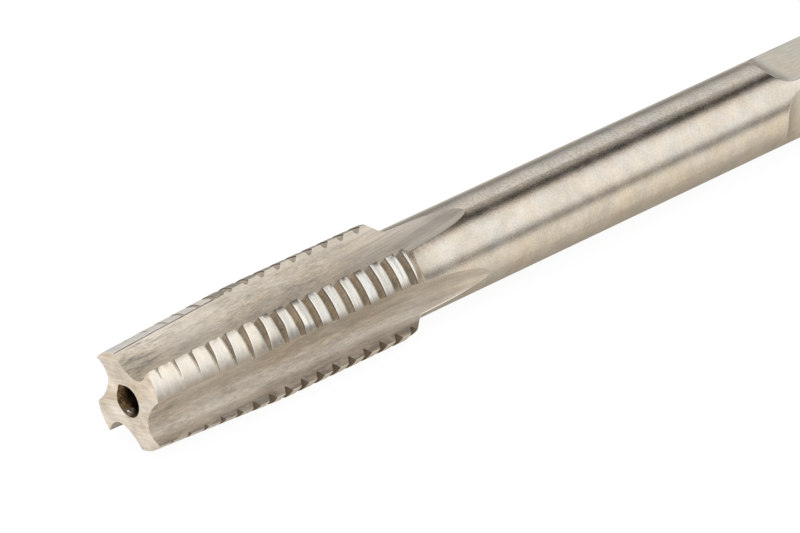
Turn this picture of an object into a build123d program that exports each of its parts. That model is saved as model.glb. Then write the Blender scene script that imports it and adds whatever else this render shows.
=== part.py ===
from build123d import *
from math import acos, asin, cos, degrees, radians, sin, sqrt, tan
import os

# Hand tap, first tap of a set for M10 x 1.5, ground from one bar of high speed steel.
# It is drawn upright, cutting end at Z 0 and drive end up, and laid along +X at the end.
# Laid down, it rests on two of its lands, with one flute straight up.

# Lengths along the axis, from the cutting end
overall_length = 70.0
thread_length = 23.9
lead_length = 9.2
flute_length = 31.4
square_length = 8.0

# Thread, with the flanks of the nominal size; a first tap's crests stay well below that size
nominal_diameter = 10.0
pitch = 1.5
flank_angle = 60.0
crest_allowance = 0.5
root_width = 0.17
groove_phase = 0.308
thread_turns = 17

# Lead: a cone that is ground off axis on each land, so that only the cutting edge touches the hole
lead_angle = 3.0
relief_offset = 0.8
relief_angle = 20.0
front_bevel = 0.1

# Shank, shoulder behind the thread, square and drive end
shank_diameter = 7.0
shoulder_angle = 42.0
shoulder_fillet = 0.8
square_across_flats = 5.5
square_runout_radius = 3.0
end_chamfer = 0.6

# Flutes: a hooked cutting face, a round bottom and a wide heel side
flute_count = 4
core_radius = 2.24
flute_bottom_radius = 1.28
flute_heel_radius = 3.5
cutting_face_angle = 11.0
grinding_wheel_radius = 60.0

# Centre holes that carried the tap between centres while it was ground
centre_angle = 60.0
front_centre_diameter = 2.4
rear_centre_diameter = 2.0
pilot_diameter = 1.0
pilot_depth = 1.6
drill_point_angle = 118.0

# How far cutting tools reach past the metal, and round into the flutes beside a land
clearance = 1.0
clearance_angle = 9.0

# Sizes worked out from the ones above
crest_radius = nominal_diameter / 2 - crest_allowance
front_radius = crest_radius - lead_length * tan(radians(lead_angle))
shank_radius = shank_diameter / 2

# Groove depth follows from the nominal thread, whose crests are an eighth of the pitch wide
half_flank = tan(radians(flank_angle / 2))
root_radius = nominal_diameter / 2 - (pitch * 7 / 8 - root_width) / 2 / half_flank
tool_radius = crest_radius + clearance / 2
tool_width = root_width + 2 * half_flank * (tool_radius - root_radius)

# Cutting face: a straight line that leaves the round bottom on a tangent
flute_centre = core_radius + flute_bottom_radius
face_tilt = radians(cutting_face_angle)
face_start_u = flute_centre - flute_bottom_radius * sin(face_tilt)
face_start_v = flute_bottom_radius * cos(face_tilt)
face_end_u = crest_radius + clearance
face_end_v = face_start_v + (face_end_u - face_start_u) * tan(face_tilt)

# Angles from the flute's deepest line to its two edges at the crest
face_offset = face_start_v * cos(face_tilt) - face_start_u * sin(face_tilt)
face_edge_angle = cutting_face_angle + degrees(asin(face_offset / crest_radius))
heel_centre = core_radius + flute_heel_radius
heel_edge_cosine = heel_centre**2 + crest_radius**2 - flute_heel_radius**2
heel_edge_angle = degrees(acos(heel_edge_cosine / (2 * heel_centre * crest_radius)))
heel_end_cosine = heel_centre**2 + flute_heel_radius**2 - (crest_radius + clearance) ** 2
heel_arc_size = degrees(acos(heel_end_cosine / (2 * heel_centre * flute_heel_radius)))

# The deepest line leans so that the flute's two edges stand at equal angles
flute_lean = radians((heel_edge_angle - face_edge_angle) / 2)
edge_angle = (heel_edge_angle + face_edge_angle) / 2
flute_spacing = 360 / flute_count
land_arc = flute_spacing - 2 * edge_angle + 2 * clearance_angle

# The flute rises straight out of the shank, on the grinding wheel's radius
leaving_reach = (shank_radius + flute_bottom_radius) ** 2 - (flute_centre * sin(flute_lean)) ** 2
flute_rise = sqrt(leaving_reach) - flute_centre * cos(flute_lean)
runout_length = sqrt(2 * grinding_wheel_radius * flute_rise - flute_rise**2)
runout_start = flute_length - runout_length
runout_arc = 2 * degrees(asin(runout_length / grinding_wheel_radius))

# Relief: the lead's cone has its own axis, set ahead of the cutting edge of the land that it grinds
relief_direction = edge_angle - relief_angle
relief_x = relief_offset * cos(radians(relief_direction))
relief_y = relief_offset * sin(radians(relief_direction))


def relief_radius(land_radius):
    # Radius about the relief axis that gives the cutting edge this radius about the tap's axis
    reach = 2 * land_radius * relief_offset * cos(radians(relief_angle))
    return sqrt(land_radius**2 + relief_offset**2 - reach)


# Turned blank: thread diameter, shoulder, shank and end chamfer
shoulder_length = (crest_radius - shank_radius) / tan(radians(shoulder_angle))
shoulder_end = thread_length + shoulder_length
with BuildPart() as blank:
    with BuildSketch(Plane.XZ) as blank_profile:
        with BuildLine():
            Polyline(
                (0, 0),
                (crest_radius, 0),
                (crest_radius, thread_length),
                (shank_radius, shoulder_end),
                (shank_radius, overall_length - end_chamfer),
                (shank_radius - end_chamfer, overall_length),
                (0, overall_length),
                close=True,
            )
        make_face()
        shoulder_corner = blank_profile.vertices().sort_by_distance((shank_radius, shoulder_end, 0))
        fillet(shoulder_corner[0], radius=shoulder_fillet)
    revolve(axis=Axis.Z)

# Relief of one land: what is ground away outside the off-axis cone, between two flutes
relief_front = relief_radius(front_radius)
relief_slope = (relief_radius(crest_radius) - relief_front) / lead_length
relief_height = (tool_radius - relief_front) / relief_slope
sector_start = radians(relief_direction + relief_angle / 2)
sector_arc = land_arc + relief_angle
relief_axis = Axis((relief_x, relief_y, 0), (0, 0, 1))
relief_plane = Plane(
    origin=(relief_x, relief_y, 0),
    x_dir=(cos(sector_start), sin(sector_start), 0),
    z_dir=(sin(sector_start), -cos(sector_start), 0),
)
with BuildPart() as land_relief:
    with BuildSketch(relief_plane):
        with BuildLine():
            Polyline(
                (relief_front - front_bevel, -clearance),
                (relief_front - front_bevel, 0),
                (relief_front + relief_slope * front_bevel, front_bevel),
                (tool_radius, relief_height),
                (tool_radius, -clearance),
                close=True,
            )
        make_face()
    revolve(axis=relief_axis, revolution_arc=sector_arc)

# Flute: a straight channel, then the curve on which the grinding wheel leaves the shank
wheel_axis = Axis((core_radius + grinding_wheel_radius, 0, runout_start), (0, 1, 0))
flute_plane = Plane(
    origin=(0, 0, runout_start),
    x_dir=(cos(flute_lean), sin(flute_lean), 0),
    z_dir=(0, 0, 1),
)
with BuildPart() as flute:
    with BuildSketch(flute_plane) as flute_section:
        with BuildLine():
            bottom_arc = CenterArc((flute_centre, 0), flute_bottom_radius, 180, cutting_face_angle - 90)
            face_line = Line(bottom_arc @ 1, (face_end_u, face_end_v))
            heel_arc = CenterArc((heel_centre, 0), flute_heel_radius, 180, heel_arc_size)
            Line(heel_arc @ 1, face_line @ 1)
        make_face()
    extrude(amount=-(runout_start + clearance))
    revolve(flute_section.sketch.face(), axis=wheel_axis, revolution_arc=runout_arc)

# Thread groove on one land: a piece of right-hand helix from one flute to the next
with BuildPart() as land_groove:
    with BuildLine() as groove_path:
        Helix(pitch, pitch * land_arc / 360, root_radius)
    with BuildSketch(Plane(origin=groove_path.line @ 0, x_dir=(1, 0, 0), z_dir=(0, -1, 0))):
        with BuildLine():
            Polyline(
                (0, -root_width / 2),
                (tool_radius - root_radius, -tool_width / 2),
                (tool_radius - root_radius, tool_width / 2),
                (0, root_width / 2),
                close=True,
            )
        make_face()
    sweep(path=groove_path.line, is_frenet=True)

# The pieces lie end to end on one helix, from ahead of the front face to the shoulder
groove_places = []
for groove in range(flute_count * thread_turns):
    groove_angle = (groove + 0.5) * flute_spacing - land_arc / 2
    groove_z = groove_phase - pitch + pitch * groove_angle / 360
    groove_places.append(Location((0, 0, groove_z), (0, 0, groove_angle)))

# Flat of the square: ground away beyond the flat, with the wheel's radius where it runs out
flat_radius = square_across_flats / 2
wheel_centre = flat_radius + square_runout_radius
runout_reach = sqrt(square_runout_radius**2 - (wheel_centre - shank_radius) ** 2)
runout_centre = overall_length - square_length + runout_reach
with BuildPart() as square_flat:
    with BuildSketch(Plane.XZ):
        with BuildLine():
            runout = CenterArc((wheel_centre, runout_centre), square_runout_radius, 180, 90)
            flat_line = Line(runout @ 0, (flat_radius, overall_length + clearance))
            side_line = Line(runout @ 1, (wheel_centre, overall_length + clearance))
            Line(flat_line @ 1, side_line @ 1)
        make_face()
    extrude(amount=shank_diameter, both=True)

# Centre holes: a cone for the lathe centre, a narrow pilot behind it and the drill's point
pilot_radius = pilot_diameter / 2
point_length = pilot_radius / tan(radians(drill_point_angle / 2))
half_centre = tan(radians(centre_angle / 2))
front_centre_radius = front_centre_diameter / 2
front_cone = (front_centre_radius - pilot_radius) / half_centre
with BuildPart() as front_centre:
    with BuildSketch(Plane.XZ):
        with BuildLine():
            Polyline(
                (0, 0),
                (front_centre_radius, 0),
                (pilot_radius, front_cone),
                (pilot_radius, front_cone + pilot_depth),
                (0, front_cone + pilot_depth + point_length),
                close=True,
            )
        make_face()
    revolve(axis=Axis.Z)

rear_centre_radius = rear_centre_diameter / 2
rear_cone = overall_length - (rear_centre_radius - pilot_radius) / half_centre
with BuildPart() as rear_centre:
    with BuildSketch(Plane.XZ):
        with BuildLine():
            Polyline(
                (0, overall_length),
                (rear_centre_radius, overall_length),
                (pilot_radius, rear_cone),
                (pilot_radius, rear_cone - pilot_depth),
                (0, rear_cone - pilot_depth - point_length),
                close=True,
            )
        make_face()
    revolve(axis=Axis.Z)

# The whole tap, upright
with BuildPart() as upright:
    add(blank.part)
    with PolarLocations(0, flute_count):
        add(flute.part, mode=Mode.SUBTRACT)
    with PolarLocations(0, flute_count):
        add(land_relief.part, mode=Mode.SUBTRACT)
    with Locations(groove_places):
        add(land_groove.part, mode=Mode.SUBTRACT)
    with PolarLocations(0, 4):
        add(square_flat.part, mode=Mode.SUBTRACT)
    add(front_centre.part, mode=Mode.SUBTRACT)
    add(rear_centre.part, mode=Mode.SUBTRACT)

# The finished tap lies along +X, with its front face at X 0 and its axis on the X axis
with BuildPart(Plane.YZ) as hand_tap:
    add(upright.part)

hand_tap.part.label = "hand_tap"
os.makedirs("parts", exist_ok=True)
export_step(hand_tap.part, "parts/hand_tap.step")
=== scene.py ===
import math

import bpy
import numpy as np
from mathutils import Matrix, Vector
from mathutils.geometry import delaunay_2d_cdt


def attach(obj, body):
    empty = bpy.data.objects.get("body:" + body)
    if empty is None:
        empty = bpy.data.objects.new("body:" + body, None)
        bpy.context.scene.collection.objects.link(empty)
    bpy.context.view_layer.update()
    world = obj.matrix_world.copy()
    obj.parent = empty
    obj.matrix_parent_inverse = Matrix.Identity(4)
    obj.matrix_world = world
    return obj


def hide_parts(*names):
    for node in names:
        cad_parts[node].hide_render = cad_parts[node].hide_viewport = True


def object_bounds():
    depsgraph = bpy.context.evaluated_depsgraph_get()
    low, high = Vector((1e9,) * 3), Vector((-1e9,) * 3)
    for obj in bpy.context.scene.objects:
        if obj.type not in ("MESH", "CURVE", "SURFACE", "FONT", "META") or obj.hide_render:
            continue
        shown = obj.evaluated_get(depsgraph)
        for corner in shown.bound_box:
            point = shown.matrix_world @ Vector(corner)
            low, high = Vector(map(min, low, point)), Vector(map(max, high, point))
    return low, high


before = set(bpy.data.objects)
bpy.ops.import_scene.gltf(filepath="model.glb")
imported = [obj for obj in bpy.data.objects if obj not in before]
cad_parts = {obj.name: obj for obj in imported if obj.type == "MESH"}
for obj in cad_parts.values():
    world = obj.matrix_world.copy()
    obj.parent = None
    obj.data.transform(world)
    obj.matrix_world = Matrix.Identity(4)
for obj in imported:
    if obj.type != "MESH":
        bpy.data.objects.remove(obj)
cad_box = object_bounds()

scene = bpy.context.scene
MM = 0.001

# Camera at the photograph's viewing angle, in metres
EYE = Vector((-0.2365508522, -0.27957815994, 0.2515269367))
RIGHT = Vector((0.74262173, -0.66900898, 0.03065876))
UP = Vector((0.34763636, 0.4242074, 0.83618003))
camera_data = bpy.data.cameras.new("camera")
camera_data.sensor_width = 36.0
camera_data.lens = 284.623
camera_data.clip_start = 0.01
camera_data.clip_end = 20.0
camera = bpy.data.objects.new("camera", camera_data)
back = RIGHT.cross(UP)
camera.matrix_world = Matrix((
    (RIGHT.x, UP.x, back.x, EYE.x),
    (RIGHT.y, UP.y, back.y, EYE.y),
    (RIGHT.z, UP.z, back.z, EYE.z),
    (0.0, 0.0, 0.0, 1.0),
))
scene.collection.objects.link(camera)
scene.camera = camera

# Sizes of the part, in millimetres and degrees, taken from its source and in places rounded.
# The groove's root is 0.05 deeper and narrower here, on the same flanks, and the front bevel is
# half as wide
LENGTH = 70.0
THREAD_END = 23.9
LEAD = 9.2
LEAD_ANGLE = math.radians(3.0)
SQUARE_START = 62.0
CREST = 4.5
SHANK = 3.5
PITCH = 1.5
ROOT = 3.96
HALF_ROOT = 0.056
FLANK = math.sqrt(3.0)
GROOVE_PHASE = 0.308
GROOVES = 16
FRONT_RADIUS = CREST - LEAD * math.tan(LEAD_ANGLE)
RELIEF_OFFSET = 0.8
RELIEF_TURN = 20.0
FRONT_BEVEL = 0.05
SHOULDER_ANGLE = math.radians(42.0)
SHOULDER_SLOPE = math.tan(SHOULDER_ANGLE)
SHOULDER_FILLET = 0.8
CORE = 2.24
BOTTOM = 1.28
HEEL = 3.5
FACE_TILT = math.radians(11.0)
WHEEL = 60.0
RUNOUT_START = 19.1
FLUTE_TIP = 31.4
FLAT = 2.75
SQUARE_WHEEL = 3.0
END_CHAMFER = 0.6
HALF_CENTRE = math.tan(math.radians(30.0))

# Angles are measured from +Y towards +Z. Flutes lie at 0, 90, 180 and 270 degrees, and each land
# follows the flute of its own number
LANDS = 4
SPACING = 90.0
EDGE_TURN = 28.0
LAND_TURN = SPACING - 2 * EDGE_TURN
TIP_TURN = 7.05
TOP_LAND, BOTTOM_LAND = 0, 2


def relief_radius(radius):
    # Radius about the relief's own axis, for a cutting edge at this radius about the tap's axis
    return math.sqrt(
        radius**2 + RELIEF_OFFSET**2
        - 2 * radius * RELIEF_OFFSET * math.cos(math.radians(RELIEF_TURN))
    )


RELIEF_FRONT = relief_radius(FRONT_RADIUS)
RELIEF_SLOPE = (relief_radius(CREST) - RELIEF_FRONT) / LEAD
SHOULDER_END = THREAD_END + (CREST - SHANK) / SHOULDER_SLOPE
FILLET_REACH = SHOULDER_FILLET * math.tan(SHOULDER_ANGLE / 2)
FILLET_START = SHOULDER_END - FILLET_REACH * math.cos(SHOULDER_ANGLE)
FILLET_END = SHOULDER_END + FILLET_REACH


def turned_radius(x):
    # Radius of the turned bar
    if x <= THREAD_END:
        return CREST
    if x <= FILLET_START:
        return CREST - (x - THREAD_END) * SHOULDER_SLOPE
    if x < FILLET_END:
        return SHANK + SHOULDER_FILLET - math.sqrt(SHOULDER_FILLET**2 - (FILLET_END - x) ** 2)
    return SHANK - max(0.0, x - (LENGTH - END_CHAMFER))


def body_radius(x, angle, land):
    # Radius of a land without its thread: the bar, or the lead's cone about its own axis
    cone = RELIEF_FRONT + RELIEF_SLOPE * x
    if x < FRONT_BEVEL:
        cone -= FRONT_BEVEL - x
    turn = math.radians(angle - SPACING * land - (EDGE_TURN - RELIEF_TURN))
    reach = RELIEF_OFFSET * math.cos(turn)
    reach += math.sqrt(cone**2 - (RELIEF_OFFSET * math.sin(turn)) ** 2)
    return min(turned_radius(x), reach)


def groove_centre(angle, land, number):
    # Groove 0 is the first that cuts the land. Along the cutting edges it lies 0.4 to 1.6 behind
    # the front face
    first = GROOVE_PHASE + PITCH * (SPACING * land + EDGE_TURN) / 360.0
    return first + PITCH * number + PITCH * (angle - SPACING * land - EDGE_TURN) / 360.0


def groove_radius(offset):
    return ROOT + FLANK * max(0.0, abs(offset) - HALF_ROOT)


# Swarf in the roots of the top land's grooves: its depth, then where it starts and how far on it
# is full, in degrees towards the heel and in millimetres along the tap
SWARF_DEPTH = 0.14
SWARF_TURN, SWARF_TURN_REACH = 52.0, 8.0
SWARF_START, SWARF_REACH = 6.0, 3.0


def grow(value, start, reach):
    return min(max((value - start) / reach, 0.0), 1.0)


def outer_radius(x, angle, land):
    number = round((x - groove_centre(angle, land, 0)) / PITCH)
    number = min(max(number, 0), GROOVES - 1)
    groove = groove_radius(x - groove_centre(angle, land, number))
    if land == TOP_LAND:
        packed = grow(angle, SWARF_TURN, SWARF_TURN_REACH) * grow(x, SWARF_START, SWARF_REACH)
        groove = max(groove, ROOT + SWARF_DEPTH * packed)
    return min(body_radius(x, angle, land), groove)


def bisect(low, high, rounds, holds):
    # The value furthest from low towards high for which the test holds
    for _ in range(rounds):
        probe = (low + high) / 2
        if holds(probe):
            low = probe
        else:
            high = probe
    return low


NARROWEST, WIDEST = 0.05, 0.6
WIDTH_ROUNDS = 26


def half_width(angle, land, number, side):
    # Distance from a groove's middle to the edge where its flank meets the land
    middle = groove_centre(angle, land, number)

    def cuts(probe):
        return groove_radius(probe) < body_radius(middle + side * probe, angle, land)

    return max(bisect(0.0, WIDEST, WIDTH_ROUNDS, cuts), NARROWEST)


# Flute: a hooked face, a round bottom and a wide heel, leaning so that both edges stand at
# nearly equal angles
FLUTE_CENTRE = CORE + BOTTOM
HEEL_CENTRE = CORE + HEEL
BOTTOM_LENGTH = BOTTOM * (math.pi / 2 - FACE_TILT)
FACE_U = FLUTE_CENTRE - BOTTOM * math.sin(FACE_TILT)
FACE_V = BOTTOM * math.cos(FACE_TILT)
LEAN = math.radians(9.6)
COS_LEAN, SIN_LEAN = math.cos(LEAN), math.sin(LEAN)
DEEPEST = 0.057
SECTION_REACH = 4.2
SECTION_ROUNDS = 30


def flute_point(s, x):
    # Radius and angle at distance s along the flute's section, positive towards the cutting face
    if s < 0:
        a = -s / HEEL
        u, v = HEEL_CENTRE - HEEL * math.cos(a), -HEEL * math.sin(a)
    elif s < BOTTOM_LENGTH:
        a = s / BOTTOM
        u, v = FLUTE_CENTRE - BOTTOM * math.cos(a), BOTTOM * math.sin(a)
    else:
        t = s - BOTTOM_LENGTH
        u, v = FACE_U + t * math.cos(FACE_TILT), FACE_V + t * math.sin(FACE_TILT)
    gx = u * COS_LEAN - v * SIN_LEAN
    gy = u * SIN_LEAN + v * COS_LEAN
    rise = x - RUNOUT_START
    if rise > 0:
        axis = CORE + WHEEL
        gx = axis - math.sqrt((axis - gx) ** 2 - rise**2)
    return math.hypot(gx, gy), math.degrees(math.atan2(gy, gx))


def flute_edge(x, radius, side):
    # Where the flute's section reaches this radius
    if flute_point(DEEPEST, x)[0] >= radius:
        return DEEPEST
    return bisect(DEEPEST, side * SECTION_REACH, SECTION_ROUNDS,
                  lambda s: flute_point(s, x)[0] < radius)


# Stations along each land, as functions of the angle: planes at the front and in the run-out, and
# lines that follow every groove's edges, flanks and root in between. Each has the zone behind it
EDGE = 0.012
CREST_STEP = 0.05
LAST_CREST_STEP = 0.03
ROOT_SHARE = 0.6
FRONT_STATIONS = [0.0, 0.01, 0.04, 0.06]
LEAD_IN_SHARES = (0.3, 0.65)
CREST_SHARES = (0.33, 0.67)
TAIL_STATIONS = [THREAD_END - EDGE, THREAD_END + EDGE, 24.35, FILLET_START, 24.93, 25.08, 25.21,
                 FILLET_END]
RUNOUT_FIRST = FILLET_END + 0.02
RUNOUT_STEPS = 16
RUNOUT_EASE = 1.7

# Side, level, offset and zone of the stations in one groove. Level 0 is the root's middle, 1 its
# corner, 2 the edge at the crest, and the rest lie between
GROOVE_STATIONS = [
    (-1, 2, CREST_STEP, "crest"), (-1, 2, EDGE, "crest"), (-1, 2, -EDGE / 2, "groove"),
    (-1, 1.5, 0, "groove"), (-1, 1, EDGE, "groove"), (-1, 1, -EDGE, "groove"),
    (1, 0, 0, "groove"), (1, 1, -EDGE, "groove"), (1, 1, EDGE, "flank"), (1, 1.45, 0, "flank"),
    (1, 1.8, 0, "flank_shadow"), (1, 2, -EDGE / 2, "edge"), (1, 2, EDGE, "edge"),
]


def plain(x):
    return lambda angle, land: x


def in_groove(number, side, level, offset):
    def station(angle, land):
        middle = groove_centre(angle, land, number)
        if level == 0:
            return middle
        wide = half_width(angle, land, number, side)
        narrow = min(HALF_ROOT, ROOT_SHARE * wide)
        flank = narrow + (wide - narrow) * (level - 1)
        return middle + side * (flank + offset)
    return station


def between(first, second, share):
    return lambda angle, land: (1 - share) * first(angle, land) + share * second(angle, land)


def after(previous, x, step):
    return lambda angle, land: max(x, previous(angle, land) + step)


stations = [(plain(x), "crest") for x in FRONT_STATIONS]
start_of_thread = in_groove(0, -1, 2, CREST_STEP)
for share in LEAD_IN_SHARES:
    stations.append((between(plain(FRONT_STATIONS[-1]), start_of_thread, share), "crest"))
for number in range(GROOVES):
    if number:
        crest_start = in_groove(number - 1, 1, 2, CREST_STEP)
        crest_end = in_groove(number, -1, 2, CREST_STEP)
        for share in CREST_SHARES:
            stations.append((between(crest_start, crest_end, share), "crest"))
    for side, level, offset, zone in GROOVE_STATIONS:
        stations.append((in_groove(number, side, level, offset), zone))
    step = CREST_STEP if number < GROOVES - 1 else LAST_CREST_STEP
    stations.append((in_groove(number, 1, 2, step), "crest"))
for x in TAIL_STATIONS:
    zone = "crest" if x < THREAD_END else "shoulder"
    stations.append((after(stations[-1][0], x, EDGE), zone))
stations[-1] = (stations[-1][0], "shank")
for step in range(1, RUNOUT_STEPS + 1):
    share = 1 - (1 - step / RUNOUT_STEPS) ** RUNOUT_EASE
    stations.append((plain(RUNOUT_FIRST + share * (FLUTE_TIP - RUNOUT_FIRST)), "shank"))

# Points across one land, as shares of its width, and along one flute
LAND_STEPS = 14
RIM_SHARE = 0.012
LAND_SHARES = [0.0, RIM_SHARE]
LAND_SHARES += [RIM_SHARE + (1 - 2 * RIM_SHARE) * i / LAND_STEPS for i in range(1, LAND_STEPS + 1)]
LAND_SHARES += [1.0]
HEEL_STEPS = 10
HEEL_SHARES = [1.0, 0.965] + [1 - i / HEEL_STEPS for i in range(1, HEEL_STEPS)]
BOTTOM_STEPS = 9
FACE_STEPS = 4
FLUTE_POINTS = len(HEEL_SHARES) + BOTTOM_STEPS + FACE_STEPS + 1
QUARTER = FLUTE_POINTS + len(LAND_SHARES)

# The flute's round bottom shrinks where its cutting side is shorter than this
FULL_SIDE = 2.2
TRIM_SHARE = 0.1
EDGE_ROUNDS = 6


def find_edge(station, land, side):
    # Edge of a land at one station: the flute's section and the land meet there
    gap = SPACING * land if side > 0 else SPACING * (land + 1)
    angle = gap + side * EDGE_TURN
    for _ in range(EDGE_ROUNDS):
        x = station(angle, land)
        s = flute_edge(x, outer_radius(x, angle, land), side)
        angle = gap + flute_point(s, x)[1]
    smooth = flute_edge(x, body_radius(x, angle, land), side)
    return x, s, angle, smooth


def ring(station):
    # One closed line of points round the tap
    points = []
    edges = [(find_edge(station, land, 1), find_edge(station, land, -1)) for land in range(LANDS)]
    for land in range(LANDS):
        cutting, heel = edges[land]
        # Flute in front of this land, from the last land's heel to this land's cutting edge
        x_start, s_start, _, smooth_start = edges[land - 1][1]
        x_end, s_end, _, smooth_end = cutting
        trim = min(EDGE, (s_end - s_start) * TRIM_SHARE)
        s_start, s_end = s_start + trim, s_end - trim
        tangent = BOTTOM_LENGTH * min(1.0, smooth_end / FULL_SIDE)
        middle = min(DEEPEST, smooth_end)
        lengths = []
        for share in HEEL_SHARES:
            lengths.append(max(s_start, middle + (smooth_start - middle) * share))
        for i in range(BOTTOM_STEPS):
            lengths.append(middle + (tangent - middle) * i / BOTTOM_STEPS)
        for i in range(FACE_STEPS + 1):
            lengths.append(tangent + (s_end - tangent) * i / FACE_STEPS)
        total = s_end - s_start
        for s in lengths:
            share = min(max((s - s_start) / total, 0.0), 1.0) if total > 1e-9 else 0.5
            x = x_start + (x_end - x_start) * share
            radius, angle = flute_point(s, x)
            points.append((x, radius, SPACING * land + angle))
        # The land itself
        inset = math.degrees(EDGE / CREST)
        first, last = cutting[2] + inset, heel[2] - inset
        for share in LAND_SHARES:
            angle = first + (last - first) * share
            x = station(angle, land)
            points.append((x, outer_radius(x, angle, land), angle))
    return points


# At the last station each flute has run out to one point
rings = [ring(station) for station, _ in stations]
for land in range(LANDS):
    tip = (FLUTE_TIP, SHANK, SPACING * land + TIP_TURN)
    start = land * QUARTER
    rings[-1][start:start + FLUTE_POINTS] = [tip] * FLUTE_POINTS
vertices = []
faces = []
zones = []


def place(x, radius, angle):
    a = math.radians(angle)
    vertices.append((x, radius * math.cos(a), radius * math.sin(a)))
    return len(vertices) - 1


def face(corners, zone):
    faces.append(corners)
    zones.append(zone)


DARK_LINE_END = LEAD + 1
LEAST_DEPTH = 0.01
BARE_SHOULDER_END = 24.5
LEAD_ZONES = {TOP_LAND: "top lead", BOTTOM_LAND: "bottom lead"}


def zone_at(row, i):
    # Flutes first; on a land, a groove counts only where the lead leaves it some depth
    x, _, angle = rings[row][i]
    land = i // QUARTER
    if i % QUARTER < FLUTE_POINTS - 1:
        return "dark heel line" if i == QUARTER and x < DARK_LINE_END else "flute"
    zone = stations[row][1]
    if zone in ("groove", "flank", "flank_shadow", "edge"):
        if body_radius(x, angle, land) < ROOT + LEAST_DEPTH:
            zone = "crest"
    if zone == "crest" and x < LEAD:
        return LEAD_ZONES.get(land, "lead")
    if zone == "crest" and land == TOP_LAND:
        return "top crest"
    if zone == "shoulder" and x > BARE_SHOULDER_END:
        return "shank"
    return zone


numbers = [[place(*point) for point in points] for points in rings]
for row in range(len(numbers) - 1):
    here, there = numbers[row], numbers[row + 1]
    for i in range(LANDS * QUARTER):
        k = (i + 1) % (LANDS * QUARTER)
        face((here[i], here[k], there[k], there[i]), zone_at(row, i))


def circle(x, radius, count):
    return [place(x, radius, 360.0 * i / count) for i in range(count)]


def join(first, second, zone):
    # Quads between two rings of the same count
    count = len(first)
    for i in range(count):
        k = (i + 1) % count
        face((first[i], first[k], second[k], second[i]), zone)


def zip_rings(first, second, zone):
    # Triangles between two rings of different counts on the same cylinder
    def angles(loop):
        return [math.atan2(vertices[i][2], vertices[i][1]) % (2 * math.pi) for i in loop]
    a, b = angles(first), angles(second)
    order_a = sorted(range(len(first)), key=lambda i: a[i])
    order_b = sorted(range(len(second)), key=lambda i: b[i])
    first = [first[i] for i in order_a]
    second = [second[i] for i in order_b]
    a, b = sorted(a), sorted(b)
    i = k = 0
    while i < len(first) or k < len(second):
        next_a = a[i + 1] if i + 1 < len(a) else a[0] + 2 * math.pi
        next_b = b[k + 1] if k + 1 < len(b) else b[0] + 2 * math.pi
        here, there = first[i % len(first)], second[k % len(second)]
        if k >= len(second) or (i < len(first) and next_a <= next_b):
            face((here, first[(i + 1) % len(first)], there), zone)
            i += 1
        else:
            face((here, second[(k + 1) % len(second)], there), zone)
            k += 1


def fill_disc(outline, hole, zone, facing):
    # Flat face between an outline and a round hole in it
    loop = list(outline) + list(hole)
    flat = [Vector((vertices[i][1], vertices[i][2])) for i in loop]
    count = len(outline)
    edges = [(i, (i + 1) % count) for i in range(count)]
    edges += [(count + i, count + (i + 1) % len(hole)) for i in range(len(hole))]
    outer = [tuple(flat[i]) for i in range(count)]
    inner = [tuple(flat[i]) for i in range(count, len(flat))]
    _, _, triangles, origin, _, _ = delaunay_2d_cdt(flat, edges, [], 0, 1e-7)
    for triangle in triangles:
        if len(triangle) != 3:
            continue
        corners = [origin[i][0] for i in triangle]
        centre = sum((flat[i] for i in corners), Vector((0.0, 0.0))) / 3
        if inside(centre, inner) or not inside(centre, outer):
            continue
        a, b, c = (flat[i] for i in corners)
        turn = (b - a).cross(c - a)
        if turn * facing < 0:
            corners.reverse()
        face(tuple(loop[i] for i in corners), zone)


def inside(point, outline):
    found = False
    for i in range(len(outline)):
        (ax, ay), (bx, by) = outline[i], outline[i - 1]
        if (ay > point.y) != (by > point.y):
            if point.x < (bx - ax) * (point.y - ay) / (by - ay) + ax:
                found = not found
    return found


# Wear of the front centre hole. Dents at the rim: angle, width in degrees and depth. Chips stuck
# to the wall: place along the tap, angle, size and height. Last, a small ring of dirt
HOLE_POINTS = 128
WALL_RADIUS = 1.05
WORN_END = 1.2
DENTS = ((42.0, 13.0, 0.17), (330.0, 14.0, 0.07))
DENT_REACH = 0.22
CHIPS = ((0.25, 284.0, 0.08, 0.06), (0.30, 272.0, 0.055, 0.04))
DIRT_X, DIRT_ANGLE, DIRT_RADIUS, DIRT_WIDTH, DIRT_HEIGHT = 0.24, 263.0, 0.13, 0.04, 0.035


def swell(distance, width):
    return math.exp(-(distance / width) ** 2)


def apart(angle, other):
    return (angle - other + 180.0) % 360.0 - 180.0


def along_wall(x, angle, at_x, at_angle):
    # Distance between two places on the hole's wall
    return math.hypot(x - at_x, math.radians(apart(angle, at_angle)) * WALL_RADIUS)


def hole_wear(x, angle):
    # How far the wall lies outside the clean cone
    wear = sum(depth * swell(apart(angle, at), width) for at, width, depth in DENTS)
    wear *= math.exp(-x / DENT_REACH)
    for at_x, at_angle, size, height in CHIPS:
        wear -= height * swell(along_wall(x, angle, at_x, at_angle), size)
    reach = along_wall(x, angle, DIRT_X, DIRT_ANGLE)
    return wear - DIRT_HEIGHT * swell(reach - DIRT_RADIUS, DIRT_WIDTH)


def worn_circle(x, radius):
    loop = []
    for i in range(HOLE_POINTS):
        angle = 360.0 * i / HOLE_POINTS
        loop.append(place(x, radius + hole_wear(x, angle), angle))
    return loop


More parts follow.
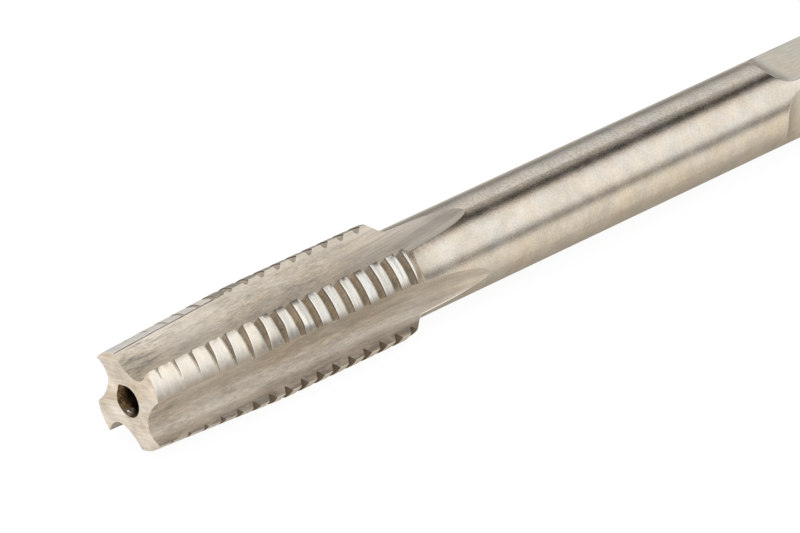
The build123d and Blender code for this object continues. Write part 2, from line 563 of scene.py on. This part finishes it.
# Front face and its centre hole: a cone, then the narrow pilot with its point. Rows are x and
# radius
FRONT_CENTRE = 1.2
FRONT_MOUTH = 1.215
CONE_ROWS = [0.05 + 0.04 * i for i in range(13)] + [0.62, 0.74, 0.86, 0.98, 1.1]
PILOT_ROWS = [(1.2124, 0.5), (1.23, 0.495), (2.0, 0.495), (2.8124, 0.495), (3.1, 0.02)]
hole_rows = [(EDGE, 1.195)] + [(x, FRONT_CENTRE - x * HALF_CENTRE) for x in CONE_ROWS] + PILOT_ROWS
previous = worn_circle(0.0, FRONT_MOUTH)
fill_disc(numbers[0], previous, "front", -1)
for x, radius in hole_rows:
    following = worn_circle(x, radius) if x < WORN_END else circle(x, radius, HOLE_POINTS)
    join(following, previous, "hole")
    previous = following
face(tuple(reversed(previous)), "hole")

# Plain shank, from the flutes' tips to the square
TOUCHING = 1e-5
SHANK_STATIONS = (33.0, 36.0, 41.0, 46.0, 51.0, 56.0)
previous = []
for i in numbers[-1]:
    if not previous or math.dist(vertices[i], vertices[previous[-1]]) > TOUCHING:
        previous.append(i)
turn_angles = [math.degrees(math.atan2(vertices[i][2], vertices[i][1])) for i in previous]
for x in SHANK_STATIONS:
    following = [place(x, SHANK, angle) for angle in turn_angles]
    join(previous, following, "shank")
    previous = following

# Square: each flat runs out on its wheel's radius, and the end is chamfered
FLAT_STEPS = 6
CORNER_STEPS = 16
SQUARE_COLUMNS = 2 * FLAT_STEPS + CORNER_STEPS
BEFORE_SQUARE = 61.9
SQUARE_STATIONS = (62.0, 62.02, 62.08, 62.2, 62.4, 62.7, 63.0, 63.4, 63.7, 63.98, 64.1, 66.0, 68.0,
                   69.385, 69.415, 69.55, 69.7, 69.85, 69.985, 70.0)
WHEEL_X = SQUARE_START + math.sqrt(SQUARE_WHEEL**2 - (FLAT + SQUARE_WHEEL - SHANK) ** 2)


def flat_distance(x):
    if x <= SQUARE_START:
        return SHANK
    if x >= WHEEL_X:
        return FLAT
    return FLAT + SQUARE_WHEEL - math.sqrt(SQUARE_WHEEL**2 - (WHEEL_X - x) ** 2)


def square_ring(x):
    bar = turned_radius(x)
    distance = min(flat_distance(x), bar)
    half = math.degrees(math.acos(min(1.0, distance / bar)))
    loop = []
    for quarter in range(4):
        base = 90.0 * quarter
        for i in range(FLAT_STEPS):
            angle = half * i / FLAT_STEPS
            loop.append(place(x, distance / math.cos(math.radians(angle)), base + angle))
        for i in range(CORNER_STEPS):
            loop.append(place(x, bar, base + half + (90 - 2 * half) * i / CORNER_STEPS))
        for i in range(FLAT_STEPS):
            angle = half * (1 - i / FLAT_STEPS)
            loop.append(place(x, distance / math.cos(math.radians(angle)), base + 90 - angle))
    return loop


following = square_ring(BEFORE_SQUARE)
unique = []
for n, i in enumerate(following):
    if math.dist(vertices[i], vertices[following[n - 1]]) > TOUCHING:
        unique.append(i)
zip_rings(previous, unique, "shank")
previous = following
for x in SQUARE_STATIONS:
    following = square_ring(x)
    count = len(following)
    for i in range(count):
        k = (i + 1) % count
        in_corner = FLAT_STEPS <= i % SQUARE_COLUMNS < FLAT_STEPS + CORNER_STEPS
        zone = "shank" if in_corner else "square"
        face((previous[i], previous[k], following[k], following[i]), zone)
    previous = following

# Rear face and its centre hole, with rows of x and radius as at the front
REAR_POINTS = 48
REAR_MOUTH = 1.015
REAR_ROWS = [(69.985, 0.995), (69.6, 1.0 - 0.4 * HALF_CENTRE), (69.134, 0.5), (69.12, 0.495),
             (67.534, 0.495), (67.24, 0.02)]
rear_hole = circle(LENGTH, REAR_MOUTH, REAR_POINTS)
fill_disc(previous, rear_hole, "rear", 1)
previous = rear_hole
for x, radius in REAR_ROWS:
    following = circle(x, radius, REAR_POINTS)
    join(previous, following, "hole")
    previous = following
face(tuple(previous), "hole")


def merge(points, polygons, kinds):
    # Points at one place become one, and faces that this leaves without area go
    keys = {}
    remap = []
    kept = []
    for p in points:
        key = (round(p[0], 5), round(p[1], 5), round(p[2], 5))
        if key not in keys:
            keys[key] = len(kept)
            kept.append(p)
        remap.append(keys[key])
    new_faces, new_kinds = [], []
    for polygon, kind in zip(polygons, kinds):
        corners = []
        for i in polygon:
            if not corners or remap[i] != corners[-1]:
                corners.append(remap[i])
        if corners[0] == corners[-1]:
            corners.pop()
        if len(set(corners)) >= 3:
            new_faces.append(tuple(corners))
            new_kinds.append(kind)
    return kept, new_faces, new_kinds


# One mesh, with each zone's own material and normals weighted by area
ZONES = ["crest", "top crest", "lead", "top lead", "bottom lead", "dark heel line", "edge", "groove",
         "flank", "flank_shadow", "flute", "shoulder", "shank", "front", "hole", "square", "rear"]
vertices, faces, zones = merge(vertices, faces, zones)
tap_data = bpy.data.meshes.new("ground_tap")
tap_data.from_pydata([(x * MM, y * MM, z * MM) for x, y, z in vertices], [], faces)
tap_data.update()
tap = bpy.data.objects.new("ground_tap", tap_data)
scene.collection.objects.link(tap)
print("tap:", len(vertices), "points,", sum(len(f) - 2 for f in faces), "triangles")
tap_data.polygons.foreach_set("material_index", [ZONES.index(z) for z in zones])
tap_data.polygons.foreach_set("use_smooth", [True] * len(faces))

points = np.array(vertices)
normals = np.zeros_like(points)
for polygon in faces:
    corners = points[list(polygon)]
    area = np.zeros(3)
    for i in range(1, len(corners) - 1):
        area += np.cross(corners[i] - corners[0], corners[i + 1] - corners[0])
    normals[list(polygon)] += area
normals /= np.maximum(np.linalg.norm(normals, axis=1)[:, None], 1e-12)
tap_data.normals_split_custom_set_from_vertices([tuple(n) for n in normals])


# Shader nodes, made in one line each
class Shading:
    def __init__(self, tree):
        self.tree = tree

    def add(self, kind, settings=None, **values):
        # Values go to inputs by name, or by the number after the letter i
        node = self.tree.nodes.new("ShaderNode" + kind)
        for key, value in (settings or {}).items():
            setattr(node, key, value)
        for key, value in values.items():
            by_number = key[0] == "i" and key[1:].isdigit()
            self.set(node.inputs[int(key[1:]) if by_number else key], value)
        return node

    def set(self, socket, value):
        if isinstance(value, bpy.types.NodeSocket):
            self.tree.links.new(value, socket)
        else:
            socket.default_value = value

    def math(self, operation, *values, clamp=False):
        node = self.add("Math", {"operation": operation, "use_clamp": clamp})
        for socket, value in zip(node.inputs, values):
            self.set(socket, value)
        return node.outputs[0]

    def times(self, product, *factors):
        for factor in factors:
            product = self.math("MULTIPLY", product, factor)
        return product

    def fade(self, value, start, end):
        # Smoothly from 0 at the start to 1 at the end
        node = self.add("MapRange", {"interpolation_type": "SMOOTHSTEP"}, Value=value)
        node.inputs["From Min"].default_value = start
        node.inputs["From Max"].default_value = end
        return node.outputs[0]

    def sway(self, value, pattern, amount):
        # The value, moved to and fro by a pattern about its middle
        return self.math("ADD", value, self.times(self.math("SUBTRACT", pattern, 0.5), amount))

    def split(self, vector):
        return self.add("SeparateXYZ", i0=vector).outputs

    def length(self, vector):
        return self.add("VectorMath", {"operation": "LENGTH"}, i0=vector).outputs["Value"]

    def turn(self, parts):
        # Degrees from +Y towards +Z
        return self.math("DEGREES", self.math("ARCTAN2", parts[2], parts[1]))

    def ramp(self, factor, stops):
        node = self.add("ValToRGB", i0=factor)
        elements = node.color_ramp.elements
        while len(elements) > 1:
            elements.remove(elements[-1])
        for n, (position, colour) in enumerate(stops):
            element = elements[0] if n == 0 else elements.new(position)
            element.position = position
            element.color = (*colour, 1.0)
        return node.outputs[0]

    def noise(self, vector, scale, detail=2.0, roughness=0.5):
        node = self.add("TexNoise", Vector=vector, Scale=scale, Detail=detail, Roughness=roughness)
        return node.outputs[0]

    def stretch(self, vector, factors):
        node = self.add("VectorMath", {"operation": "MULTIPLY"}, i0=vector, i1=factors)
        return node.outputs[0]

    def mix(self, factor, first, second, mode="MIX"):
        node = self.add("Mix", {"data_type": "RGBA", "blend_type": mode})
        for number, value in ((0, factor), (6, first), (7, second)):
            if isinstance(value, tuple) and len(value) == 3:
                value = (*value, 1.0)
            self.set(node.inputs[number], value)
        return node.outputs[2]


# Tones reach 1.3, so the ramps hold them divided by this and the strength brings them back
TONE_RANGE = 1.5


def toned(value, warmth, green, blue):
    # A grey, made warmer by the shares of green and blue that are taken out of it
    value = value / TONE_RANGE
    return value, value * (1 - green * warmth), value * (1 - blue * warmth)


# Floor: a white sheet that glows evenly, like a light table. Polished steel mirrors another one,
# seen only by glossy rays: a painted reflection with the tap's painted shadow in it, darkest
# under the tap, bright beside it and darker again far behind. FLOOR gives its tones by y in
# millimetres
FLOOR_HALF = 1.5
FLOOR_RANGE = 0.08
FLOOR = [(-80, 0.9), (-30, 1.15), (-14, 1.15), (-8, 0.95), (-4, 0.58), (-2, 0.43), (0, 0.38),
         (4, 0.6), (8, 1.25), (12, 1.1), (20, 0.75), (40, 0.5), (80, 0.40)]
# Darker tones of the painted reflection, near the tap's front part and ahead of its front face
NEARER_TONE = (0.64, 0.61, 0.57)
AHEAD_TONE = (0.70, 0.67, 0.63)
floor_z = cad_box[0].z
corners = [(-1, -1), (1, -1), (1, 1), (-1, 1)]
floor_data = bpy.data.meshes.new("floor")
floor_data.from_pydata([(FLOOR_HALF * x, FLOOR_HALF * y, floor_z) for x, y in corners], [],
                       [(0, 1, 2, 3)])
floor = bpy.data.objects.new("floor", floor_data)
scene.collection.objects.link(floor)
paper = bpy.data.materials.new("paper")
paper.use_nodes = True
sheet = Shading(paper.node_tree)
seen = paper.node_tree.nodes["Principled BSDF"]
seen.inputs["Base Color"].default_value = (0.12, 0.12, 0.12, 1.0)
seen.inputs["Emission Color"].default_value = (1.0, 1.0, 1.0, 1.0)
seen.inputs["Emission Strength"].default_value = 0.92
seen.inputs["Roughness"].default_value = 0.9
seen.inputs["Specular IOR Level"].default_value = 0.0
on_floor = sheet.split(sheet.add("TexCoord").outputs["Object"])
spread = sheet.math("DIVIDE", on_floor[1], 2 * FLOOR_RANGE)
spread = sheet.math("ADD", spread, 0.5, clamp=True)
stops = []
for y, value in FLOOR:
    warmth = 0.5 if y > 8 else max(0.5, 1.0 - abs(y + 1) / 20)
    stops.append((0.5 + y * MM / (2 * FLOOR_RANGE), toned(value, warmth, 0.10, 0.24)))
mirrored = sheet.ramp(spread, stops)
nearer = sheet.fade(on_floor[0], 0.013, 0.002)
mirrored = sheet.mix(sheet.times(nearer, 0.38), mirrored, NEARER_TONE)
ahead = sheet.fade(on_floor[0], 0.0015, -0.0015)
mirrored = sheet.mix(ahead, mirrored, AHEAD_TONE)
dimmed = sheet.add("Emission", Color=mirrored, Strength=TONE_RANGE)
path = sheet.add("LightPath")
choice = sheet.add("MixShader", i0=path.outputs["Is Glossy Ray"], i1=seen.outputs[0],
                   i2=dimmed.outputs[0])
sheet.set(paper.node_tree.nodes["Material Output"].inputs["Surface"], choice.outputs[0])
floor_data.materials.append(paper)

# Studio: a tent of long soft boxes along the tap, with a gap overhead and a dark room at the
# horizon. TENT gives its tones by the angle from +Y towards +Z. The floor gets the tent's light as
# one even glow
TENT = [(0, 0.26), (8, 0.30), (25, 0.78), (45, 1.03), (58, 1.0), (64, 0.8), (70, 0.3), (75, 0.0),
        (90, 0.0), (93, 0.4), (98, 1.0), (105, 1.22), (120, 1.3), (140, 1.28), (155, 1.25),
        (161, 0.95), (166, 0.5), (170, 0.33), (180, 0.28)]
GLOW = 1.1
scene.view_settings.view_transform = "Standard"
world = bpy.data.worlds.new("studio")
scene.world = world
world.use_nodes = True
world.cycles.sampling_method = "NONE"
world.node_tree.nodes.clear()
sky = Shading(world.node_tree)
direction = sky.split(sky.add("TexCoord").outputs["Generated"])
turn = sky.math("ARCTAN2", direction[2], direction[1])
stops = []
for angle, value in TENT:
    warmth = max(0.0, 1.0 - abs(angle - 82) / 24, 0.3 - abs(angle - 172) / 30)
    stops.append((angle / 180, toned(value, warmth, 0.2, 0.36)))
tent = sky.ramp(sky.math("DIVIDE", turn, math.pi, clamp=True), stops)
glow = sky.add("Background", Color=(1.0, 1.0, 1.0, 1.0), Strength=GLOW)
boxes = sky.add("Background", Color=tent, Strength=TONE_RANGE)
path = sky.add("LightPath")
choice = sky.add("MixShader", i0=path.outputs["Is Glossy Ray"], i1=glow.outputs[0],
                 i2=boxes.outputs[0])
sky.add("OutputWorld", Surface=choice.outputs[0])

# Colours of wear, oil and dirt, and of painted light and shade
CUTTING_EDGE_DARK = (0.15, 0.125, 0.11)
BARE_METAL_AND_HIGHLIGHT = (1.0, 0.98, 0.93)
HEEL_SHADE = (0.38, 0.32, 0.26)
LOWER_SIDE_SHADE = (0.22, 0.18, 0.14)
RIM_HIGHLIGHT = (0.97, 0.93, 0.85)
CLEAN_METAL = (0.97, 0.92, 0.83)
UPPER_TINT = (1.0, 0.985, 0.955)
OILY_BAND = (0.16, 0.135, 0.12)
GREY_METAL = (0.67, 0.65, 0.61)
FINE_LINE = (0.27, 0.245, 0.22)
WORN_EDGE_HIGHLIGHT = (1.0, 0.99, 0.96)
PALE_TIP = (0.96, 0.91, 0.83)
PALE_STREAK = (0.94, 0.91, 0.87)
DARK_STREAK = (0.2, 0.18, 0.16)
GROOVE_SHADE = (0.11, 0.085, 0.06)
LIT_TOP_GROOVE = (0.95, 0.90, 0.82)
SHOULDER_SHADE = (0.47, 0.41, 0.34)
COLLAR_DOTS = (0.26, 0.20, 0.15)
FRINGE_BROWN = (0.30, 0.24, 0.19)
COARSE_GRAIN = (0.37, 0.315, 0.28)
DEEP_HOLE_SHADE = (0.010, 0.006, 0.003)

# Place, size and colour of a cleaner patch, and of painted glints on two chips low on the hole's
# wall
HOLE_PATCH_AND_GLINTS = (
    ((0.27, 0.12, -1.03), 0.36, (0.26, 0.21, 0.16)),
    ((0.24, 0.24, -1.01), 0.09, (0.98, 0.92, 0.82)),
    ((0.30, 0.04, -1.00), 0.07, (0.90, 0.80, 0.66)),
)


# Colours that change with the place on the tap, as functions of the material's colour so far.
# Lengths are in millimetres
def land_ends(nodes, spot, colour, strength=1.0, below=0.5):
    # Darker in blotches along the cutting edge, much paler on the lower lands (bare metal with a
    # painted highlight), and painted shade towards the heel on all but the +Y side
    parts = nodes.split(spot)
    turned = nodes.math("FLOORED_MODULO", nodes.turn(parts), SPACING)
    across = nodes.math("DIVIDE", nodes.math("SUBTRACT", turned, EDGE_TURN), LAND_TURN)
    blotch = nodes.noise(nodes.stretch(spot, (2.2, 1.0, 1.0)), 1.0, 2.0)
    edge_dark = nodes.times(nodes.fade(across, 0.2, 0.02), nodes.fade(blotch, 0.36, 0.56))
    lower = nodes.fade(parts[2], -0.6, -1.4)
    edge_dark = nodes.times(edge_dark, nodes.math("SUBTRACT", 1.0, nodes.times(lower, 1 - below)))
    colour = nodes.mix(nodes.times(edge_dark, strength), colour, CUTTING_EDGE_DARK)
    # Bare metal with a painted highlight on the lower lands
    colour = nodes.mix(nodes.times(lower, 0.9), colour, BARE_METAL_AND_HIGHLIGHT)
    # Painted shade towards the heel
    painted_shade = nodes.times(nodes.fade(nodes.sway(across, blotch, 0.25), 0.74, 1.02), 0.8)
    return nodes.mix(nodes.times(painted_shade, nodes.fade(parts[1], 2.0, 0.6)), colour, HEEL_SHADE)


def lead_ends(nodes, spot, colour):
    return land_ends(nodes, spot, colour, 0.45, 0.0)


def flute_streaks(nodes, spot, colour):
    parts = nodes.split(spot)
    along, height = parts[0], parts[2]
    radius = nodes.length(nodes.stretch(spot, (0.0, 1.0, 1.0)))
    front = nodes.fade(along, 7.0, 1.0)
    upper = nodes.fade(height, 0.0, 1.2)
    # Painted shade that darkens the flutes' lower side
    painted_shade = nodes.times(nodes.fade(height, 1.0, -3.4), 0.45)
    colour = nodes.mix(painted_shade, colour, LOWER_SIDE_SHADE)
    # A painted highlight, brighter towards the rims of the upper flutes, most at the front
    sheen_and_wear = nodes.times(nodes.fade(radius, 3.0, 4.1), nodes.times(front, 0.75))
    rim = nodes.math("MAXIMUM", sheen_and_wear, nodes.times(nodes.fade(radius, 3.7, 4.3), 0.42))
    colour = nodes.mix(nodes.times(rim, upper), colour, RIM_HIGHLIGHT)
    # Paler and warmer metal beside the lead
    clean = nodes.times(nodes.fade(along, 10.5, 8.5), nodes.fade(along, 1.5, 4.0))
    clean = nodes.times(clean, nodes.math("ADD", nodes.times(upper, 0.2), 0.1))
    colour = nodes.mix(clean, colour, CLEAN_METAL)
    colour = nodes.mix(upper, colour, UPPER_TINT, "MULTIPLY")
    # A dark oily band in places along the lower cutting edges
    blotch = nodes.noise(nodes.stretch(spot, (0.5, 1.5, 1.5)), 1.0, 3.0, 0.6)
    oily = nodes.times(nodes.fade(radius, 3.72, 3.95), nodes.fade(height, -0.9, -1.5))
    oily = nodes.times(oily, nodes.fade(blotch, 0.38, 0.55))
    colour = nodes.mix(nodes.times(oily, 0.5), colour, OILY_BAND)
    # Greyer metal with fine dark lines where the wheel leaves the upper flutes
    leaving = nodes.times(nodes.fade(along, 21.0, 26.0), upper)
    colour = nodes.mix(nodes.times(leaving, 0.42), colour, GREY_METAL)
    fine = nodes.noise(nodes.stretch(spot, (0.3, 16.0, 0.0)), 1.0, 2.0, 0.6)
    fine = nodes.times(nodes.fade(fine, 0.50, 0.66), upper, nodes.fade(along, 18.0, 22.0))
    colour = nodes.mix(nodes.times(fine, 0.34), colour, FINE_LINE)
    # Bright worn metal with a painted highlight on the lip where the lower run-out's cutting side
    # leaves the shank
    lip = nodes.times(nodes.fade(radius, 3.39, 3.48), nodes.fade(along, 24.6, 25.6))
    lip = nodes.times(lip, nodes.fade(height, -0.6, -1.0), nodes.fade(along, 30.0, 28.0))
    colour = nodes.mix(nodes.times(lip, 0.7), colour, WORN_EDGE_HIGHLIGHT)
    # Paler tips of all run-outs but the topmost
    tip = nodes.times(nodes.fade(along, 27.5, 30.0), nodes.fade(height, 1.4, 0.6))
    colour = nodes.mix(nodes.times(tip, 0.22), colour, PALE_TIP)
    # Sparse pale and dark streaks beside the thread, with more near the front of the upper flutes,
    # where chips slide along the metal
    sheen_and_wear = nodes.times(front, upper)
    thread = nodes.fade(along, 23.0, 18.0)
    pale = nodes.noise(nodes.stretch(spot, (0.5, 7.0, 7.0)), 1.0, 2.0)
    much = nodes.math("ADD", nodes.times(thread, 0.16), nodes.times(sheen_and_wear, 0.3))
    colour = nodes.mix(nodes.times(nodes.fade(pale, 0.56, 0.70), much), colour, PALE_STREAK)
    dark = nodes.noise(nodes.stretch(spot, (0.8, 5.0, -5.0)), 1.0, 3.0, 0.65)
    much = nodes.math("ADD", nodes.times(thread, 0.18), nodes.times(sheen_and_wear, 0.55))
    return nodes.mix(nodes.times(nodes.fade(dark, 0.50, 0.68), much), colour, DARK_STREAK)


def groove_shade(nodes, spot, colour):
    # Painted shade in the grooves, darker the lower they lie, and painted light on the top ones
    # towards +Y
    parts = nodes.split(spot)
    side, height = parts[1], parts[2]
    depth = nodes.math("DIVIDE", nodes.math("SUBTRACT", 3.4, height), 6.0, clamp=True)
    colour = nodes.mix(nodes.times(depth, 0.68), colour, GROOVE_SHADE)
    lit_top = nodes.times(nodes.fade(height, 2.4, 3.2), nodes.fade(side, 0.6, 1.4))
    return nodes.mix(nodes.times(lit_top, 0.3), colour, LIT_TOP_GROOVE)


def collar(nodes, spot, colour):
    # Painted shade behind the shoulder, browner near it, and dark dots there where the thread's
    # wheel did not reach
    parts = nodes.split(spot)
    along, side = parts[0], parts[1]
    blotch = nodes.noise(nodes.stretch(spot, (0.8, 0.8, 0.8)), 1.0, 3.0)
    wander = nodes.sway(along, blotch, 1.6)
    colour = nodes.mix(nodes.times(nodes.fade(wander, 27.2, 24.4), 0.7), colour, SHOULDER_SHADE)
    dots = nodes.fade(nodes.noise(spot, 4.5, 3.0, 0.6), 0.54, 0.68)
    dots = nodes.times(dots, nodes.fade(wander, 28.0, 24.6))
    colour = nodes.mix(nodes.times(dots, 0.4), colour, COLLAR_DOTS)
    # A brown fringe where the top flute's cutting side leaves the shank
    to_tip = nodes.math("DIVIDE", nodes.math("SUBTRACT", FLUTE_TIP, along), 6.2, clamp=True)
    rim = nodes.times(nodes.math("SQRT", to_tip), 22.0)
    rim = nodes.math("ADD", rim, SPACING + TIP_TURN)
    from_rim = nodes.math("SUBTRACT", nodes.turn(parts), rim)
    fringe = nodes.times(nodes.fade(from_rim, 13.0, 1.0), nodes.fade(from_rim, -3.0, -1.0))
    fringe = nodes.times(fringe, nodes.fade(along, 32.0, 30.5))
    fringe = nodes.times(fringe, nodes.fade(nodes.noise(spot, 2.2, 3.0, 0.6), 0.3, 0.55))
    colour = nodes.mix(nodes.times(fringe, 0.55), colour, FRINGE_BROWN)
    # Coarser grain on the shank's top and back
    grains = nodes.fade(nodes.noise(spot, 6.2, 3.0, 0.7), 0.46, 0.62)
    grains = nodes.times(grains, nodes.fade(side, -2.0, -0.6))
    return nodes.mix(nodes.times(grains, 0.46), colour, COARSE_GRAIN)


def hole_shade_and_glints(nodes, spot, colour):
    # Painted shade, darker with depth, then a cleaner patch and painted glints on the wall
    colour = nodes.mix(nodes.fade(nodes.split(spot)[0], 0.15, 0.75), colour, DEEP_HOLE_SHADE)
    for place_on_wall, size, tint in HOLE_PATCH_AND_GLINTS:
        offset = nodes.add("VectorMath", {"operation": "SUBTRACT"}, i0=spot, i1=place_on_wall)
        reach = nodes.length(offset.outputs[0])
        wander = nodes.sway(reach, nodes.noise(spot, 7.0, 3.0), 0.8 * size)
        colour = nodes.mix(nodes.fade(wander, 1.25 * size, 0.7 * size), colour, tint)
    return colour


COOL_TINT, WARM_TINT = (0.975, 1.0, 1.03), (1.03, 1.0, 0.945)
GLANCE_GREEN, GLANCE_BLUE = 0.92, 0.83
ROUGHNESS_SPREAD = 0.12
RUNOUT_LINES = (0.15, 14.0, 1.0)


# Ground steel, one material for each way in which a surface was ground, with lighter and darker
# copies of some for painted light and shade. Weights say how strongly the lines, the specks and
# the clouds change the tone
def steel(name, pale, dark, roughness, lines, weights, line_height=0.001, grain=0.001,
          patches=(0.4, 0.4, 0.4), speck_scale=7.0, turned=0.0, runout=False, glancing=0.0,
          extra=None):
    material = bpy.data.materials.new(name)
    material.use_nodes = True
    nodes = Shading(material.node_tree)
    shader = material.node_tree.nodes["Principled BSDF"]
    spot = nodes.stretch(nodes.add("TexCoord").outputs["Object"], (1 / MM, 1 / MM, 1 / MM))
    ground = spot
    if turned:
        ground = nodes.add("VectorRotate", {"rotation_type": "X_AXIS"}, Vector=spot,
                           Angle=math.radians(turned)).outputs[0]
    line = nodes.noise(nodes.stretch(ground, lines), 1.0, 3.0, 0.6)
    if runout:
        # On the wheel's curve the lines depend only on the places along and across the flute
        parts = nodes.split(spot)
        flat_side = nodes.math("ABSOLUTE", parts[1])
        pick = nodes.math("LESS_THAN", flat_side, nodes.math("ABSOLUTE", parts[2]))
        gap = nodes.math("SUBTRACT", parts[1], parts[2])
        sideways = nodes.math("ADD", parts[2], nodes.times(gap, pick))
        curve = nodes.add("CombineXYZ", i0=parts[0], i1=sideways, i2=0.0).outputs[0]
        long_line = nodes.noise(nodes.stretch(curve, RUNOUT_LINES), 1.0, 3.0, 0.6)
        change = nodes.math("SUBTRACT", long_line, line)
        change = nodes.times(change, nodes.fade(parts[0], 18.0, 23.5))
        line = nodes.math("ADD", line, change)
    speck = nodes.noise(spot, speck_scale, 4.0, 0.7)
    cloud = nodes.noise(nodes.stretch(spot, patches), 1.0, 3.0, 0.55)
    other_patches = tuple(-0.6 * patch for patch in patches)
    other = nodes.noise(nodes.stretch(spot, other_patches), 1.0, 5.0, 0.65)
    tone = 0.5
    for pattern, weight in zip((line, speck, cloud), weights):
        tone = nodes.sway(tone, pattern, weight)
    colour = nodes.ramp(tone, [(0.0, dark), (1.0, pale)])
    tint = nodes.ramp(other, [(0.39, COOL_TINT), (0.61, WARM_TINT)])
    colour = nodes.mix(1.0, colour, tint, "MULTIPLY")
    if extra:
        colour = extra(nodes, spot, colour)
    shader.inputs["Metallic"].default_value = 1.0
    if glancing:
        tint = (glancing, GLANCE_GREEN * glancing, GLANCE_BLUE * glancing, 1.0)
        shader.inputs["Specular Tint"].default_value = tint
    nodes.set(shader.inputs["Base Color"], colour)
    spread = nodes.times(cloud, ROUGHNESS_SPREAD)
    nodes.set(shader.inputs["Roughness"],
              nodes.math("ADD", roughness - ROUGHNESS_SPREAD / 2, spread))
    height = nodes.math("ADD", nodes.times(line, line_height), nodes.times(speck, grain))
    bump = nodes.add("Bump", Height=height, Strength=1.0, Distance=MM)
    nodes.set(shader.inputs["Normal"], bump.outputs[0])
    return material


LEAD_GRINDING = dict(lines=(3.0, 0.6, 0.6), weights=(0.8, 1.0, 0.4))
CREST_LINES = (4.5, 0.5, 0.5)
THREAD_GRINDING = dict(roughness=0.5, lines=(5.0, 0.8, 0.8), line_height=0.003,
                       patches=(0.9, 0.9, 0.9))
SQUARE_GRINDING = dict(pale=(0.73, 0.68, 0.595), dark=(0.46, 0.42, 0.35), line_height=0.003,
                       weights=(1.5, 0.4, 0.6))
STEELS = {
    "crest": dict(pale=(0.82, 0.80, 0.75), dark=(0.42, 0.40, 0.36), roughness=0.27,
                  lines=CREST_LINES, weights=(1.7, 0.6, 0.3), glancing=0.8, extra=land_ends),
    # A darker, rougher copy of the crests' steel on the top land: painted shade
    "top crest": dict(pale=(0.56, 0.52, 0.465), dark=(0.36, 0.33, 0.29), roughness=0.45,
                      lines=CREST_LINES, weights=(1.0, 0.8, 0.4)),
    "lead": dict(pale=(0.90, 0.855, 0.775), dark=(0.60, 0.545, 0.46), roughness=0.36,
                 glancing=0.85, extra=lead_ends, **LEAD_GRINDING),
    # A paler copy of the lead's steel on the top land: painted light
    "top lead": dict(pale=(1.0, 0.97, 0.935), dark=(0.86, 0.82, 0.77), roughness=0.55,
                     **LEAD_GRINDING),
    # A darker copy on the bottom land: painted shade
    "bottom lead": dict(pale=(0.71, 0.675, 0.615), dark=(0.52, 0.49, 0.435), roughness=0.55,
                        **LEAD_GRINDING),
    # A dark line along the top land's heel beside the lead
    "dark heel line": dict(pale=(0.40, 0.34, 0.29), dark=(0.10, 0.08, 0.065), roughness=0.45,
                     lines=(0.6, 2.0, 2.0), weights=(2.0, 1.0, 1.0)),
    # A pale copy along each crest's front edge: a painted highlight
    "edge": dict(pale=(0.98, 0.96, 0.92), dark=(0.72, 0.69, 0.62), roughness=0.3,
                 lines=(1.0, 1.0, 1.0), weights=(1.0, 0.5, 0.5), glancing=0.8, extra=land_ends),
    "groove": dict(pale=(0.88, 0.79, 0.67), dark=(0.36, 0.31, 0.25), grain=0.004,
                   weights=(0.6, 1.4, 1.2), glancing=0.7, extra=groove_shade, **THREAD_GRINDING),
    # A darker copy of the groove's steel on its flank towards +X: painted shade
    "flank": dict(pale=(0.66, 0.575, 0.475), dark=(0.25, 0.21, 0.165), grain=0.004,
                  weights=(0.6, 1.4, 1.2), glancing=0.7, extra=groove_shade, **THREAD_GRINDING),
    # The darkest copy, just under each crest's front edge: a painted shadow line
    "flank_shadow": dict(pale=(0.34, 0.285, 0.23), dark=(0.13, 0.105, 0.08), grain=0.003,
                     weights=(0.7, 1.2, 1.0), glancing=0.6, **THREAD_GRINDING),
    "flute": dict(pale=(0.81, 0.74, 0.645), dark=(0.385, 0.34, 0.285), roughness=0.56,
                  lines=(1.6, 11.0, 11.0), line_height=0.003, weights=(1.4, 1.1, 1.1),
                  patches=(0.35, 1.4, 1.4), speck_scale=9.0, runout=True, extra=flute_streaks),
    "shoulder": dict(pale=(0.74, 0.67, 0.575), dark=(0.38, 0.33, 0.275), roughness=0.28,
                     lines=(5.0, 0.6, 0.6), line_height=0.003, grain=0.008,
                     weights=(0.8, 2.0, 0.8), speck_scale=6.5),
    "shank": dict(pale=(0.76, 0.70, 0.615), dark=(0.455, 0.415, 0.355), roughness=0.235,
                  lines=(8.0, 1.5, 1.5), line_height=0.002, grain=0.0085,
                  weights=(0.3, 1.0, 1.0), patches=(0.7, 0.7, 0.7), speck_scale=6.5,
                  extra=collar),
    "front": dict(pale=(0.91, 0.84, 0.75), dark=(0.50, 0.43, 0.355), roughness=0.42,
                  lines=(1.0, 0.35, 5.5), line_height=0.002, weights=(1.2, 0.6, 1.9),
                  patches=(0.5, 0.5, 0.9), turned=18.8),
    "hole": dict(pale=(0.24, 0.15, 0.08), dark=(0.012, 0.007, 0.003), roughness=0.36,
                 lines=(5.0, 5.0, 5.0), line_height=0.02, grain=0.012, weights=(1.6, 2.2, 1.0),
                 patches=(1.5, 1.5, 1.5), extra=hole_shade_and_glints),
    "square": dict(roughness=0.32, lines=(0.8, 8.0, 8.0), **SQUARE_GRINDING),
    "rear": dict(roughness=0.34, lines=(1.0, 0.8, 7.0), turned=-35.0, **SQUARE_GRINDING),
}
for zone in ZONES:
    tap_data.materials.append(steel(zone.replace(" ", "_") + "_steel", **STEELS[zone]))

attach(tap, "root")
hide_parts("hand_tap")
